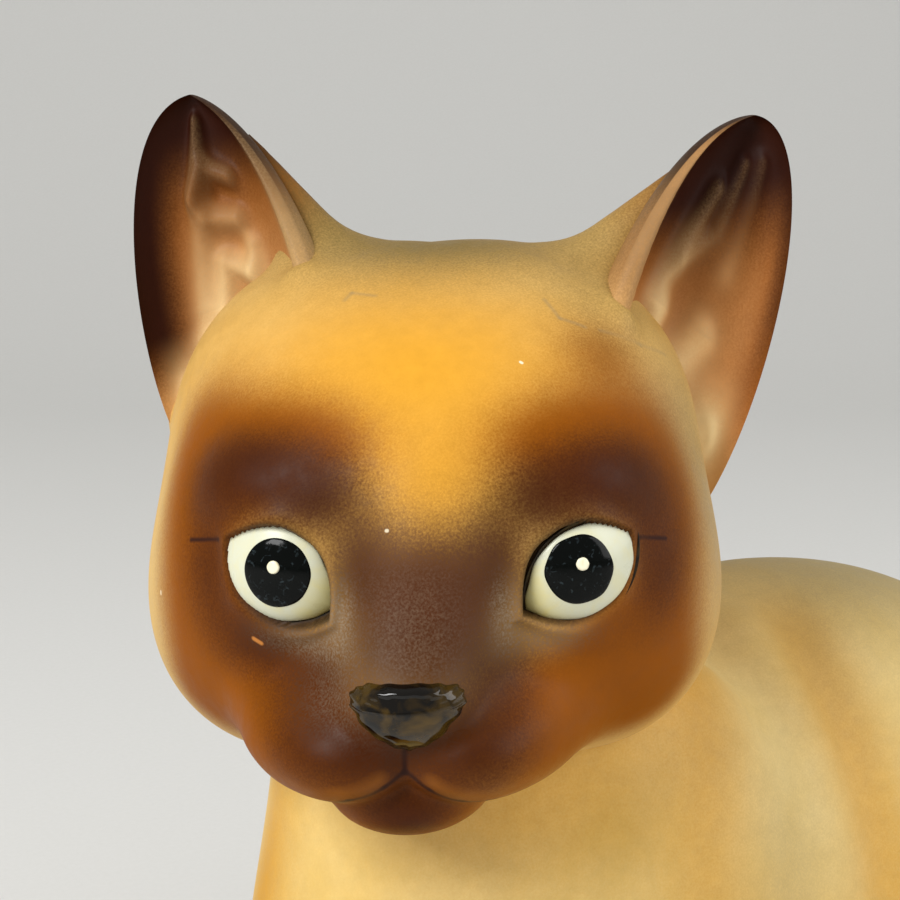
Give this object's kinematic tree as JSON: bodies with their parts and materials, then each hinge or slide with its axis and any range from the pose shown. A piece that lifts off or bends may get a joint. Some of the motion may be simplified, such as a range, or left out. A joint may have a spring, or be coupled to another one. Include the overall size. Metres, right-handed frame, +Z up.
{
  "type": "cat figurine",
  "caption": "Lying ceramic cat with its head turned, hollow slip castings luted together, enamel eyes and a glazed nose.",
  "frame": {"origin": "on the flat underside, below the middle of the back", "axes": "+X from chest to rump, -Y out of the cat's left side, +Z up from the table"},
  "size_m": [0.2192, 0.1239, 0.1567],
  "materials": {
    "bisque_cream": "matte bisque, airbrushed cream and honey",
    "bisque_mask": "matte bisque, golden crown airbrushed to a chocolate mask",
    "bisque_ear": "matte bisque, seal brown over peach",
    "bisque_leg": "matte bisque, cream airbrushed to brown at the toes",
    "bisque_tail": "matte bisque, seal brown",
    "white_enamel": "hand painted gloss enamel",
    "black_enamel": "hand painted gloss enamel",
    "catchlight_enamel": "hand painted gloss enamel dot",
    "nose_glaze": "pooled gloss glaze, black with a worn gold edge"
  },
  "bodies": {
    "root": {"body_casting": "bisque_cream", "head_casting": "bisque_mask", "left_ear": "bisque_ear", "right_ear": "bisque_ear", "left_foreleg": "bisque_leg", "right_foreleg": "bisque_leg", "left_hind_paw": "bisque_leg", "right_hind_paw": "bisque_leg", "tail": "bisque_tail", "left_eye_white": "white_enamel", "right_eye_white": "white_enamel", "left_pupil": "black_enamel", "right_pupil": "black_enamel", "left_catchlight": "catchlight_enamel", "right_catchlight": "catchlight_enamel", "nose_glaze": "nose_glaze"}
  },
  "joints": []
}
